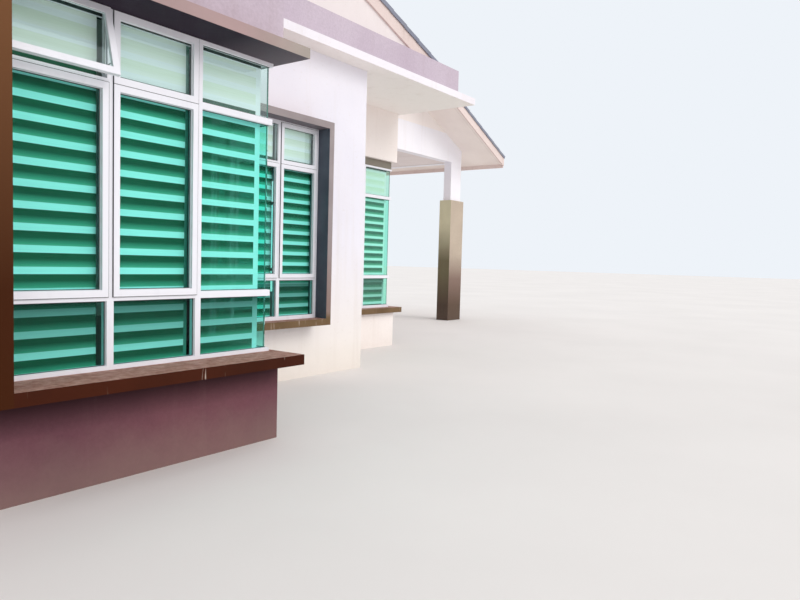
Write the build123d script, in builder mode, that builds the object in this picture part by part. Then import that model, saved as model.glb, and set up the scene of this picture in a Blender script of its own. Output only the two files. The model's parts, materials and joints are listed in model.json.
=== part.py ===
"""Semi-detached house, one half of the pair, modelled in millimetres.

+X runs along the house to the street and the porch, +Y runs into the house to the
party line, +Z is up. The origin lies on the underside of the floor slab.
"""
import os
from math import cos, radians, sin, tan

from build123d import *

os.makedirs("parts", exist_ok=True)

# Plan: the front face and the party line are placed, the rest is measured from them
front_x = 4040
party_y = 5000
wall = 150
house_length = 10040
house_depth = 9175
wing_one_length = 4675
wing_two_length = 3145
wing_one_step = 1740
wing_two_step = 1135
rear_x = front_x - house_length
wing_one_x = rear_x + wing_one_length
wing_two_x = wing_one_x + wing_two_length
wing_one_y = party_y - house_depth
wing_two_y = wing_one_y + wing_one_step
bay_three_y = wing_two_y + wing_two_step

# Levels
floor_z = 150
soffit_z = 3810
slab_thick = 98
parapet_height = 432
ledge_out = 267
ledge_front_out = 70
slab_z = soffit_z + slab_thick
parapet_z = slab_z + parapet_height
ledge_y = wing_two_y - ledge_out
ledge_x = front_x + ledge_front_out

# Main roof: the deck below the tiles, its feet behind gutters at the parapets
gutter_front = 170
gutter_rear = 100
roof_foot_drop = 19
roof_slope = 0.357
roof_thick = 80
eaves_inset = 170
barge_depth = 200
barge_thick = 30
roof_foot_front = front_x - wall - gutter_front
roof_foot_rear = rear_x + wall + gutter_rear
roof_foot_z = parapet_z - roof_foot_drop
ridge_x = (roof_foot_front + roof_foot_rear) / 2
ridge_z = roof_foot_z + roof_slope * (roof_foot_front - ridge_x)
gable_y = wing_two_y + wall

# Courses of tiles, stepped in the slopes: height of a course at its nose and its tail
main_courses = 14
porch_courses = 9
course_nose = 27
course_tail = 14

# Ridge caps of both roofs
cap_half = 130
cap_side = 60
cap_top = 75

# Porch
porch_width = 4290
porch_length = 5990
porch_beam = 200
porch_beam_height = 640
porch_pitch = 23.5
porch_thick = 150
porch_foot = 97
porch_verge_out = 810
eave_out = 630
column_width = 450
cladding = 60
cladding_z = 2900
fascia_thick = 25
fascia_top_drop = 10
fascia_bottom_drop = 240
ceiling_rise = 10
ceiling_thick = 20
porch_slope = tan(radians(porch_pitch))
porch_y = party_y - porch_width
porch_verge_y = porch_y - porch_verge_out
porch_eave_x = front_x + porch_length
porch_eave_z = slab_z + porch_foot
porch_ridge_x = front_x + porch_length / 2
porch_ridge_z = porch_eave_z + porch_slope * porch_length / 2
porch_beam_top = soffit_z + porch_beam_height
column_end_x = porch_eave_x - eave_out
column_x = column_end_x - column_width
party_column_y = party_y - porch_beam

# Names of a window's lights
row_names = ("low", "middle", "top")
column_names = ("left", "centre", "right")

# Make of the windows
board = 76
rail = 40
slim_rail = 25
bar = 46
frame_depth = 60
glass_in = 26
pane = 8
glass_joint = 2
stile = 40
sash_rail = 42
stile_lap = 6
rail_lap = 21
flange = 10
sash_body = 36
transom_high_z = 2404

# First window, round the corner of the first wing
surround_one_z = (606, 2940)
surround_one_out = 283
window_one_width = 2081
return_one = 730
glass_one_in = 76
transom_one_z = 1109
light_one_a = 652
light_one_b = 603
vent_angle = 15
vent_depth = 28
vent_lap = 14

# Second window, in a box surround
surround_two_z = (638, 2967)
surround_two_out = 283
window_two_left = 185
window_two_width = 2044
frame_two_in = 173
transom_two_z = 1157
bar_two_a = 634
bar_two_b = 1259

# Third window, round the corner of the third bay
ledge_three_z = (557, 640)
ledge_three_out = 100
window_three_width = 1690
return_three = 850
window_three_top = 3018
hood_three = 118
hood_three_in = 66
glass_three_in = 84
transom_three_z = 1117
light_three_a = 425
light_three_b = 402

# Openings with no surround, measured from the party line
room_window = 1500
rear_windows_in = (2650, 7150)
front_window_in = 2950
door_in = 1200
door_width = 1000
door_top = 2300
door_rail = 60
door_frame_depth = 110
door_setback = 20
leaf_thick = 40
room_frame_in = 50

# Roller blinds
blind_edge = 6
cloth_in = 6
cloth_thick = 4
weight_bar = 20
roller_radius = 20
roller_gap = 1
bracket = 4


def rect(a0, a1, b0, b1, mode=Mode.ADD):
    """Rectangle between two corners of the sketch in hand."""
    with Locations(((a0 + a1) / 2, (b0 + b1) / 2)):
        Rectangle(a1 - a0, b1 - b0, mode=mode)


def block(x0, x1, y0, y1, z0, z1, mode=Mode.ADD):
    """Box between two corners of the part in hand."""
    with Locations(((x0 + x1) / 2, (y0 + y1) / 2, (z0 + z1) / 2)):
        Box(x1 - x0, y1 - y0, z1 - z0, mode=mode)


def outline(*points, mode=Mode.ADD):
    """Closed face through the points, in the sketch in hand."""
    Polygon(*points, align=None, mode=mode)


def roof_top(x):
    """Height of the main roof's deck."""
    return ridge_z - roof_slope * abs(x - ridge_x)


def roof_under(x):
    """Height of the main roof's underside."""
    return roof_top(x) - roof_thick


def porch_top(x):
    """Height of the porch roof's deck."""
    return porch_ridge_z - porch_slope * abs(x - porch_ridge_x)


def porch_under(x):
    """Height of the porch roof's underside."""
    return porch_top(x) - porch_thick


def courses(side, x, ridge_x, ridge_z, slope, count):
    """Stepped top of the slope on one side of a ridge, from its foot at x to the ridge."""
    run = (ridge_x + side * cap_half - x) / count
    foot_z = ridge_z - slope * abs(x - ridge_x)
    rise = slope * abs(run)
    points = []
    for step in range(count):
        points.append((x + step * run, foot_z + step * rise + course_nose))
        points.append((x + (step + 1) * run, foot_z + (step + 1) * rise + course_tail))
    points.append((ridge_x + side * cap_half, foot_z + count * rise))
    points.append((ridge_x, ridge_z))
    return points


def cap_points(x, z, slope):
    """Section of a ridge cap seated on two slopes that meet at x, z."""
    drop = slope * cap_half
    return (
        (x, z),
        (x + cap_half, z - drop),
        (x + cap_half, z - drop + cap_side),
        (x, z + cap_top),
        (x - cap_half, z - drop + cap_side),
        (x - cap_half, z - drop),
    )


def porch_front_points(thick):
    """Section of a board along the porch's front slope."""
    return (
        (porch_ridge_x, porch_ridge_z),
        (porch_eave_x, porch_eave_z),
        (porch_eave_x, porch_eave_z - thick),
        (porch_ridge_x, porch_ridge_z - thick),
    )


def porch_rear_points(thick):
    """Section of a board along the porch's rear slope, its foot on the ledge."""
    return (
        (porch_ridge_x, porch_ridge_z),
        (front_x, porch_eave_z),
        (front_x, slab_z),
        (ledge_x, slab_z),
        (ledge_x, porch_top(ledge_x) - thick),
        (porch_ridge_x, porch_ridge_z - thick),
    )


def sash_glass(x0, x1, z0, z1):
    """Glass size of a sash in the light between x0, x1 and z0, z1."""
    side = stile - stile_lap
    end = sash_rail - rail_lap
    return x0 + side, x1 - side, z0 + end, z1 - end


def sash(x0, x1, z0, z1, face):
    """Closed sash: its body in the light, its flange lapped over the frame."""
    a0, a1, b0, b1 = sash_glass(x0, x1, z0, z1)
    block(x0 - stile_lap, x1 + stile_lap, face - flange, face, z0 - rail_lap, z1 + rail_lap)
    block(x0, x1, face, face + sash_body, z0, z1)
    block(a0, a1, face - flange, face + sash_body, b0, b1, Mode.SUBTRACT)


def lights(columns, rows):
    """Lights of a window by name, each x0, x1, z0, z1."""
    return {
        f"{row_name} {column_name}": (*column, *row)
        for row_name, row in zip(row_names, rows)
        for column_name, column in zip(column_names, columns)
    }


def blind(x0, x1, y, z0, z1):
    """Roller blind drawn down: cloth, weight bar, roller and its brackets on the frame."""
    roller_z = z1 - roller_radius - cloth_thick
    roller_y = y + roller_radius + roller_gap
    block(x0, x1, y + cloth_in, y + cloth_in + cloth_thick, z0 + weight_bar, roller_z)
    block(x0, x1, y + cloth_in - cloth_thick, y + cloth_in + 2 * cloth_thick, z0, z0 + weight_bar)
    for a in (x0, x1 - bracket):
        block(a, a + bracket, y, roller_y + roller_radius,
              roller_z - roller_radius, roller_z + roller_radius)
    with Locations(Location(((x0 + x1) / 2, roller_y, roller_z), (0, 90, 0))):
        Cylinder(roller_radius, x1 - x0)


# Faces of the windows worked out from their corners
window_one_x0 = wing_one_x - window_one_width
return_one_y = wing_one_y + return_one
surround_one_y = wing_one_y - surround_one_out
sill_one = surround_one_z[0] + board
head_one = surround_one_z[1] - board
window_two_x0 = wing_one_x + window_two_left
window_two_x1 = window_two_x0 + window_two_width
surround_two_y = wing_two_y - surround_two_out
sill_two = surround_two_z[0] + board
head_two = surround_two_z[1] - board
window_three_x0 = front_x - window_three_width
return_three_y = bay_three_y + return_three
sill_three = ledge_three_z[1]
head_three = window_three_top - hood_three
front_window_y = party_y - front_window_in
front_window = (front_window_y - room_window / 2, front_window_y + room_window / 2)
front_door_y = party_y - door_in
front_door = (front_door_y - door_width / 2, front_door_y + door_width / 2)
rear_windows = [(party_y - a - room_window / 2, party_y - a + room_window / 2) for a in rear_windows_in]

# Floor slab inside the walls
with BuildPart() as floor_slab:
    with BuildSketch(Plane.XY):
        outline(
            (rear_x + wall, wing_one_y + wall),
            (wing_one_x - wall, wing_one_y + wall),
            (wing_one_x - wall, wing_two_y + wall),
            (wing_two_x - wall, wing_two_y + wall),
            (wing_two_x - wall, bay_three_y + wall),
            (front_x - wall, bay_three_y + wall),
            (front_x - wall, party_y - wall),
            (rear_x + wall, party_y - wall),
        )
    extrude(amount=floor_z)
floor_slab.part.label = "floor_slab"
export_step(floor_slab.part, "parts/floor_slab.step")

# Rear wall with two window openings
with BuildPart() as rear_wall:
    with BuildSketch(Plane.YZ.offset(rear_x)):
        rect(wing_one_y, party_y, 0, parapet_z)
        for y0, y1 in rear_windows:
            rect(y0, y1, sill_two, head_two, Mode.SUBTRACT)
    extrude(amount=wall)
rear_wall.part.label = "rear_wall"
export_step(rear_wall.part, "parts/rear_wall.step")

# Side wall of the first wing, open at its corner for the glass
with BuildPart() as wing_one_side_wall:
    with BuildSketch(Plane.XZ.offset(-(wing_one_y + wall))):
        rect(rear_x + wall, wing_one_x, 0, parapet_z)
        rect(window_one_x0 - board, wing_one_x, *surround_one_z, Mode.SUBTRACT)
    extrude(amount=wall)
wing_one_side_wall.part.label = "wing_one_side_wall"
export_step(wing_one_side_wall.part, "parts/wing_one_side_wall.step")

# End wall of the first wing, with the return of the corner window
with BuildPart() as wing_one_end_wall:
    with BuildSketch(Plane.YZ.offset(wing_one_x - wall)):
        rect(wing_one_y + wall, wing_two_y, 0, parapet_z)
        rect(wing_one_y + wall, return_one_y, *surround_one_z, Mode.SUBTRACT)
    extrude(amount=wall)
wing_one_end_wall.part.label = "wing_one_end_wall"
export_step(wing_one_end_wall.part, "parts/wing_one_end_wall.step")

# Side wall of the second wing
with BuildPart() as wing_two_side_wall:
    with BuildSketch(Plane.XZ.offset(-(wing_two_y + wall))):
        rect(wing_one_x - wall, wing_two_x, 0, soffit_z)
        rect(window_two_x0, window_two_x1, *surround_two_z, Mode.SUBTRACT)
    extrude(amount=wall)
wing_two_side_wall.part.label = "wing_two_side_wall"
export_step(wing_two_side_wall.part, "parts/wing_two_side_wall.step")

# End wall of the second wing
with BuildPart() as wing_two_end_wall:
    block(wing_two_x - wall, wing_two_x, wing_two_y + wall, bay_three_y, 0, soffit_z)
wing_two_end_wall.part.label = "wing_two_end_wall"
export_step(wing_two_end_wall.part, "parts/wing_two_end_wall.step")

# Side wall of the third bay, open at its corner
with BuildPart() as bay_three_side_wall:
    with BuildSketch(Plane.XZ.offset(-(bay_three_y + wall))):
        rect(wing_two_x - wall, front_x, 0, soffit_z)
        rect(window_three_x0, front_x, ledge_three_z[0], window_three_top, Mode.SUBTRACT)
    extrude(amount=wall)
bay_three_side_wall.part.label = "bay_three_side_wall"
export_step(bay_three_side_wall.part, "parts/bay_three_side_wall.step")

# Front wall: corner return, window and door openings
with BuildPart() as front_wall:
    with BuildSketch(Plane.YZ.offset(front_x - wall)):
        rect(bay_three_y + wall, party_y, 0, soffit_z)
        rect(bay_three_y + wall, return_three_y, ledge_three_z[0], window_three_top, Mode.SUBTRACT)
        rect(*front_window, sill_two, head_two, Mode.SUBTRACT)
        rect(*front_door, floor_z, door_top, Mode.SUBTRACT)
    extrude(amount=wall)
front_wall.part.label = "front_wall"
export_step(front_wall.part, "parts/front_wall.step")

# Plain wall on the party line
with BuildPart() as party_wall:
    block(rear_x + wall, front_x - wall, party_y - wall, party_y, 0, soffit_z)
party_wall.part.label = "party_wall"
export_step(party_wall.part, "parts/party_wall.step")

# Flat slab over the rooms, with the ledge that stands out over the yard
with BuildPart() as flat_roof_slab:
    with BuildSketch(Plane.XY.offset(soffit_z)):
        outline(
            (rear_x + wall, wing_one_y + wall),
            (wing_one_x - wall, wing_one_y + wall),
            (wing_one_x - wall, wing_two_y),
            (wing_one_x, wing_two_y),
            (wing_one_x, ledge_y),
            (ledge_x, ledge_y),
            (ledge_x, party_y),
            (rear_x + wall, party_y),
        )
    extrude(amount=slab_thick)
flat_roof_slab.part.label = "flat_roof_slab"
export_step(flat_roof_slab.part, "parts/flat_roof_slab.step")

# Parapet bands on the slab
with BuildPart() as side_parapet:
    block(rear_x + wall, front_x, wing_two_y, gable_y, slab_z, parapet_z)
side_parapet.part.label = "side_parapet"
export_step(side_parapet.part, "parts/side_parapet.step")

with BuildPart() as front_parapet:
    block(front_x - wall, front_x, gable_y, party_y, slab_z, parapet_z)
front_parapet.part.label = "front_parapet"
export_step(front_parapet.part, "parts/front_parapet.step")

# Low walls that carry the feet of the main roof
front_eaves_x = roof_foot_front - eaves_inset - wall
with BuildPart() as front_eaves_wall:
    with BuildSketch(Plane.XZ.offset(-party_y)):
        outline(
            (front_eaves_x, slab_z),
            (front_eaves_x + wall, slab_z),
            (front_eaves_x + wall, roof_under(front_eaves_x + wall)),
            (front_eaves_x, roof_under(front_eaves_x)),
        )
    extrude(amount=party_y - gable_y - wall)
front_eaves_wall.part.label = "front_eaves_wall"
export_step(front_eaves_wall.part, "parts/front_eaves_wall.step")

rear_eaves_x = roof_foot_rear + eaves_inset + wall
with BuildPart() as rear_eaves_wall:
    with BuildSketch(Plane.XZ.offset(-party_y)):
        outline(
            (rear_eaves_x - wall, slab_z),
            (rear_eaves_x, slab_z),
            (rear_eaves_x, roof_under(rear_eaves_x)),
            (rear_eaves_x - wall, roof_under(rear_eaves_x - wall)),
        )
    extrude(amount=party_y - gable_y - wall)
rear_eaves_wall.part.label = "rear_eaves_wall"
export_step(rear_eaves_wall.part, "parts/rear_eaves_wall.step")

# Gable walls of the main roof
with BuildPart() as main_gable_wall:
    with BuildSketch(Plane.XZ.offset(-(gable_y + wall))):
        outline(
            (roof_foot_rear, slab_z),
            (roof_foot_front, slab_z),
            (roof_foot_front, roof_under(roof_foot_front)),
            (ridge_x, roof_under(ridge_x)),
            (roof_foot_rear, roof_under(roof_foot_rear)),
        )
    extrude(amount=wall)
main_gable_wall.part.label = "main_gable_wall"
export_step(main_gable_wall.part, "parts/main_gable_wall.step")

with BuildPart() as party_gable_wall:
    with BuildSketch(Plane.XZ.offset(-party_y)):
        outline(
            (rear_eaves_x, slab_z),
            (front_eaves_x, slab_z),
            (front_eaves_x, roof_under(front_eaves_x)),
            (ridge_x, roof_under(ridge_x)),
            (rear_eaves_x, roof_under(rear_eaves_x)),
        )
    extrude(amount=wall)
party_gable_wall.part.label = "party_gable_wall"
export_step(party_gable_wall.part, "parts/party_gable_wall.step")

# Main roof slopes
with BuildPart() as roof_front_slope:
    with BuildSketch(Plane.XZ.offset(-party_y)):
        outline(
            *courses(1, roof_foot_front, ridge_x, ridge_z, roof_slope, main_courses),
            (ridge_x, ridge_z - roof_thick),
            (roof_foot_front, roof_foot_z - roof_thick),
        )
    extrude(amount=party_y - gable_y)
roof_front_slope.part.label = "roof_front_slope"
export_step(roof_front_slope.part, "parts/roof_front_slope.step")

with BuildPart() as roof_rear_slope:
    with BuildSketch(Plane.XZ.offset(-party_y)):
        outline(
            *courses(-1, roof_foot_rear, ridge_x, ridge_z, roof_slope, main_courses),
            (ridge_x, ridge_z - roof_thick),
            (roof_foot_rear, roof_foot_z - roof_thick),
        )
    extrude(amount=party_y - gable_y)
roof_rear_slope.part.label = "roof_rear_slope"
export_step(roof_rear_slope.part, "parts/roof_rear_slope.step")

# Ridge cap, seated on both slopes
with BuildPart() as roof_ridge_cap:
    with BuildSketch(Plane.XZ.offset(-party_y)):
        outline(*cap_points(ridge_x, ridge_z, roof_slope))
    extrude(amount=party_y - gable_y)
roof_ridge_cap.part.label = "roof_ridge_cap"
export_step(roof_ridge_cap.part, "parts/roof_ridge_cap.step")

# Barge boards on the gable, standing on the parapet
barge_run = (ridge_z - barge_depth - parapet_z) / roof_slope
foot_run = roof_foot_front - ridge_x
parapet_run = (ridge_z - parapet_z) / roof_slope
with BuildPart() as main_barge_boards:
    for side in (1, -1):
        with BuildSketch(Plane.XZ.offset(-gable_y)):
            outline(
                (ridge_x, ridge_z),
                (ridge_x + side * min(foot_run, parapet_run), parapet_z),
                (ridge_x + side * barge_run, parapet_z),
                (ridge_x, ridge_z - barge_depth),
            )
        extrude(amount=barge_thick)
main_barge_boards.part.label = "main_barge_boards"
export_step(main_barge_boards.part, "parts/main_barge_boards.step")

# Porch columns and their thicker cladding
with BuildPart() as porch_column_one:
    block(column_x, column_end_x, porch_y, porch_y + porch_beam, 0, soffit_z)
porch_column_one.part.label = "porch_column_one"
export_step(porch_column_one.part, "parts/porch_column_one.step")

with BuildPart() as porch_cladding_one:
    block(column_x - cladding, column_end_x + cladding,
          porch_y - cladding, porch_y + porch_beam + cladding, 0, cladding_z)
    block(column_x, column_end_x, porch_y, porch_y + porch_beam, 0, cladding_z, Mode.SUBTRACT)
porch_cladding_one.part.label = "porch_cladding_one"
export_step(porch_cladding_one.part, "parts/porch_cladding_one.step")

with BuildPart() as porch_column_two:
    block(column_x, column_end_x, party_column_y, party_y, 0, soffit_z)
porch_column_two.part.label = "porch_column_two"
export_step(porch_column_two.part, "parts/porch_column_two.step")

with BuildPart() as porch_cladding_two:
    block(column_x - cladding, column_end_x + cladding, party_column_y - cladding, party_y, 0, cladding_z)
    block(column_x, column_end_x, party_column_y, party_y, 0, cladding_z, Mode.SUBTRACT)
porch_cladding_two.part.label = "porch_cladding_two"
export_step(porch_cladding_two.part, "parts/porch_cladding_two.step")

# Porch beams and the gable panels over them, cut to the roof
under_roof = (
    (front_x, 0),
    (porch_eave_x, 0),
    (porch_eave_x, porch_under(porch_eave_x)),
    (porch_ridge_x, porch_under(porch_ridge_x)),
    (front_x, porch_under(front_x)),
)
with BuildPart() as porch_side_beam:
    with BuildSketch(Plane.XZ.offset(-(porch_y + porch_beam))):
        rect(ledge_x, column_end_x, soffit_z, porch_beam_top)
        outline(*under_roof, mode=Mode.INTERSECT)
    extrude(amount=porch_beam)
porch_side_beam.part.label = "porch_side_beam"
export_step(porch_side_beam.part, "parts/porch_side_beam.step")

with BuildPart() as porch_party_beam:
    with BuildSketch(Plane.XZ.offset(-party_y)):
        rect(ledge_x, column_end_x, soffit_z, porch_beam_top)
        outline(*under_roof, mode=Mode.INTERSECT)
    extrude(amount=porch_beam)
porch_party_beam.part.label = "porch_party_beam"
export_step(porch_party_beam.part, "parts/porch_party_beam.step")

with BuildPart() as porch_gable_panel:
    with BuildSketch(Plane.XZ.offset(-(porch_y + porch_beam))):
        rect(ledge_x, column_end_x, porch_beam_top, porch_ridge_z)
        outline(*under_roof, mode=Mode.INTERSECT)
    extrude(amount=porch_beam)
porch_gable_panel.part.label = "porch_gable_panel"
export_step(porch_gable_panel.part, "parts/porch_gable_panel.step")

with BuildPart() as porch_party_panel:
    with BuildSketch(Plane.XZ.offset(-party_y)):
        rect(ledge_x, column_end_x, porch_beam_top, porch_ridge_z)
        outline(*under_roof, mode=Mode.INTERSECT)
    extrude(amount=porch_beam)
porch_party_panel.part.label = "porch_party_panel"
export_step(porch_party_panel.part, "parts/porch_party_panel.step")

# Front beam over the middle of the columns
front_beam_x = (column_x + column_end_x - porch_beam) / 2
with BuildPart() as porch_front_beam:
    with BuildSketch(Plane.XZ.offset(-party_column_y)):
        outline(
            (front_beam_x, soffit_z),
            (front_beam_x + porch_beam, soffit_z),
            (front_beam_x + porch_beam, porch_under(front_beam_x + porch_beam)),
            (front_beam_x, porch_under(front_beam_x)),
        )
    extrude(amount=party_column_y - porch_y - porch_beam)
porch_front_beam.part.label = "porch_front_beam"
export_step(porch_front_beam.part, "parts/porch_front_beam.step")

# Flat ceiling between the porch beams
ceiling_z = soffit_z + ceiling_rise
with BuildPart() as porch_ceiling:
    block(ledge_x, front_beam_x, porch_y + porch_beam, party_column_y, ceiling_z, ceiling_z + ceiling_thick)
porch_ceiling.part.label = "porch_ceiling"
export_step(porch_ceiling.part, "parts/porch_ceiling.step")

# Porch roof slopes
with BuildPart() as porch_front_slope:
    with BuildSketch(Plane.XZ.offset(-party_y)):
        outline(*porch_front_points(porch_thick))
        outline(*courses(1, porch_eave_x, porch_ridge_x, porch_ridge_z, porch_slope, porch_courses),
                (porch_eave_x, porch_eave_z))
    extrude(amount=party_y - porch_verge_y)
porch_front_slope.part.label = "porch_front_slope"
export_step(porch_front_slope.part, "parts/porch_front_slope.step")

with BuildPart() as porch_rear_slope:
    with BuildSketch(Plane.XZ.offset(-party_y)):
        outline(*porch_rear_points(porch_thick))
        outline(*courses(-1, front_x, porch_ridge_x, porch_ridge_z, porch_slope, porch_courses),
                (front_x, porch_eave_z))
    extrude(amount=party_y - porch_verge_y)
porch_rear_slope.part.label = "porch_rear_slope"
export_step(porch_rear_slope.part, "parts/porch_rear_slope.step")

with BuildPart() as porch_ridge_cap:
    with BuildSketch(Plane.XZ.offset(-party_y)):
        outline(*cap_points(porch_ridge_x, porch_ridge_z, porch_slope))
    extrude(amount=party_y - porch_verge_y)
porch_ridge_cap.part.label = "porch_ridge_cap"
export_step(porch_ridge_cap.part, "parts/porch_ridge_cap.step")

# Barge boards on the porch's verge
with BuildPart() as porch_barge_boards:
    with BuildSketch(Plane.XZ.offset(-porch_verge_y)):
        outline(*porch_front_points(barge_depth))
        outline(*porch_rear_points(barge_depth))
    extrude(amount=barge_thick)
porch_barge_boards.part.label = "porch_barge_boards"
export_step(porch_barge_boards.part, "parts/porch_barge_boards.step")

# Fascia along the porch eave
with BuildPart() as porch_fascia:
    block(porch_eave_x, porch_eave_x + fascia_thick, porch_verge_y, party_y,
          porch_eave_z - fascia_bottom_drop, porch_eave_z - fascia_top_drop)
porch_fascia.part.label = "porch_fascia"
export_step(porch_fascia.part, "parts/porch_fascia.step")

# First window: surround of sill, jamb and hood, turned round the corner
with BuildPart() as window_one_surround:
    low, high = surround_one_z
    for z0, z1 in ((low, sill_one), (head_one, high)):
        block(window_one_x0 - board, wing_one_x, surround_one_y, wing_one_y + wall, z0, z1)
        block(wing_one_x - wall, wing_one_x, wing_one_y + wall, return_one_y, z0, z1)
    block(window_one_x0 - board, window_one_x0, surround_one_y, wing_one_y + wall, low, high)
window_one_surround.part.label = "window_one_surround"
export_step(window_one_surround.part, "parts/window_one_surround.step")

# Frame of the first window, glazed glass to glass at the corner
glass_one_y = wing_one_y + glass_one_in
glass_one_x = wing_one_x - glass_one_in
face_one = glass_one_y - glass_in
back_one = face_one + frame_depth
front_one_x = glass_one_x + glass_in
rear_one_x = front_one_x - frame_depth
mullion_one = window_one_x0 + rail + light_one_a
mullions_one = (mullion_one, mullion_one + bar + light_one_b)
heights_one = (
    (sill_one, sill_one + slim_rail),
    (transom_one_z, transom_one_z + bar),
    (transom_high_z, transom_high_z + bar),
    (head_one - slim_rail, head_one),
)
with BuildPart() as window_one_frame:
    for z0, z1 in heights_one:
        block(window_one_x0, front_one_x, face_one, back_one, z0, z1)
        block(rear_one_x, front_one_x, back_one, return_one_y, z0, z1)
    block(window_one_x0, window_one_x0 + rail, face_one, back_one, sill_one, head_one)
    for x in mullions_one:
        block(x, x + bar, face_one, back_one, sill_one, head_one)
    block(rear_one_x, front_one_x, return_one_y - rail, return_one_y, sill_one, head_one)
window_one_frame.part.label = "window_one_frame"
export_step(window_one_frame.part, "parts/window_one_frame.step")

# Lights of the first window, and those that a sash closes
rows_one = [(low[1], high[0]) for low, high in zip(heights_one, heights_one[1:])]
columns_one = (
    (window_one_x0 + rail, mullions_one[0]),
    (mullions_one[0] + bar, mullions_one[1]),
    (mullions_one[1] + bar, glass_one_x),
)
lights_one = lights(columns_one, rows_one)
sashes_one = ("middle left", "middle centre", "top centre")
vent_one = "top left"
with BuildPart() as window_one_sashes:
    for name in sashes_one:
        sash(*lights_one[name], face_one)
window_one_sashes.part.label = "window_one_sashes"
export_step(window_one_sashes.part, "parts/window_one_sashes.step")

with BuildPart() as window_one_panes:
    for name, light in lights_one.items():
        if name == vent_one:
            continue
        if name in sashes_one:
            light = sash_glass(*light)
        block(*light[:2], glass_one_y - pane / 2, glass_one_y + pane / 2, *light[2:])
    for z0, z1 in rows_one:
        block(glass_one_x - pane, glass_one_x, glass_one_y + pane / 2 + glass_joint,
              return_one_y - rail, z0, z1)
window_one_panes.part.label = "window_one_panes"
export_step(window_one_panes.part, "parts/window_one_panes.step")

# Top-hung sash, standing open on its hinges at the head
vent_x0 = columns_one[0][0] - stile_lap
vent_width = light_one_a + 2 * stile_lap
vent_top = head_one - slim_rail + vent_lap
vent_height = vent_top + rail_lap - transom_high_z - bar
vent_plane = Plane(origin=(vent_x0, face_one, vent_top), x_dir=(1, 0, 0),
                   z_dir=(0, -cos(radians(vent_angle)), sin(radians(vent_angle))))
vent_light = (stile, vent_width - stile, sash_rail - vent_height, -sash_rail)
with BuildPart() as window_one_vent:
    with BuildSketch(vent_plane):
        rect(0, vent_width, -vent_height, 0)
        rect(*vent_light, Mode.SUBTRACT)
    extrude(amount=vent_depth)
window_one_vent.part.label = "window_one_vent"
export_step(window_one_vent.part, "parts/window_one_vent.step")

with BuildPart() as window_one_vent_pane:
    with BuildSketch(vent_plane.offset((vent_depth - pane) / 2)):
        rect(*vent_light)
    extrude(amount=pane)
window_one_vent_pane.part.label = "window_one_vent_pane"
export_step(window_one_vent_pane.part, "parts/window_one_vent_pane.step")

# Roller blinds behind the first window, drawn down
edges_one = (window_one_x0, mullions_one[0] + bar / 2, mullions_one[1] + bar / 2, rear_one_x)
with BuildPart() as window_one_blinds:
    for x0, x1 in zip(edges_one, edges_one[1:]):
        blind(x0 + blind_edge, x1 - blind_edge, back_one, sill_one + blind_edge, head_one)
window_one_blinds.part.label = "window_one_blinds"
export_step(window_one_blinds.part, "parts/window_one_blinds.step")

# Second window: closed box surround
with BuildPart() as window_two_surround:
    with BuildSketch(Plane.XZ.offset(-(wing_two_y + wall))):
        rect(window_two_x0, window_two_x1, *surround_two_z)
        rect(window_two_x0 + board, window_two_x1 - board, sill_two, head_two, Mode.SUBTRACT)
    extrude(amount=wing_two_y + wall - surround_two_y)
window_two_surround.part.label = "window_two_surround"
export_step(window_two_surround.part, "parts/window_two_surround.step")

# Frame, sashes, panes and blinds of the second window
face_two = surround_two_y + frame_two_in
back_two = face_two + frame_depth
glass_two_y = face_two + glass_in
left_two = window_two_x0 + board
right_two = window_two_x1 - board
mullions_two = (left_two + bar_two_a, left_two + bar_two_b)
rows_two = (
    (sill_two + rail, transom_two_z),
    (transom_two_z + bar, transom_high_z),
    (transom_high_z + bar, head_two - rail),
)
columns_two = (
    (left_two + rail, mullions_two[0]),
    (mullions_two[0] + bar, mullions_two[1]),
    (mullions_two[1] + bar, right_two - rail),
)
lights_two = lights(columns_two, rows_two)
sashes_two = ("middle left", "middle centre", "middle right", "top left", "top right")
with BuildPart() as window_two_frame:
    with BuildSketch(Plane.XZ.offset(-back_two)):
        rect(left_two, right_two, sill_two, head_two)
        for x0, x1 in columns_two:
            for z0, z1 in rows_two:
                rect(x0, x1, z0, z1, Mode.SUBTRACT)
    extrude(amount=frame_depth)
window_two_frame.part.label = "window_two_frame"
export_step(window_two_frame.part, "parts/window_two_frame.step")

with BuildPart() as window_two_sashes:
    for name in sashes_two:
        sash(*lights_two[name], face_two)
window_two_sashes.part.label = "window_two_sashes"
export_step(window_two_sashes.part, "parts/window_two_sashes.step")

with BuildPart() as window_two_panes:
    for name, light in lights_two.items():
        if name in sashes_two:
            light = sash_glass(*light)
        block(*light[:2], glass_two_y - pane / 2, glass_two_y + pane / 2, *light[2:])
window_two_panes.part.label = "window_two_panes"
export_step(window_two_panes.part, "parts/window_two_panes.step")

edges_two = (left_two, mullions_two[0] + bar / 2, mullions_two[1] + bar / 2, right_two)
with BuildPart() as window_two_blinds:
    for x0, x1 in zip(edges_two, edges_two[1:]):
        blind(x0 + blind_edge, x1 - blind_edge, back_two, sill_two + blind_edge, head_two)
window_two_blinds.part.label = "window_two_blinds"
export_step(window_two_blinds.part, "parts/window_two_blinds.step")

# Third window: ledge and hood round the corner
with BuildPart() as window_three_ledge:
    low, high = ledge_three_z
    block(window_three_x0, front_x + ledge_three_out,
          bay_three_y - ledge_three_out, bay_three_y + wall, low, high)
    block(front_x - wall, front_x + ledge_three_out, bay_three_y + wall, return_three_y, low, high)
window_three_ledge.part.label = "window_three_ledge"
export_step(window_three_ledge.part, "parts/window_three_ledge.step")

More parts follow.
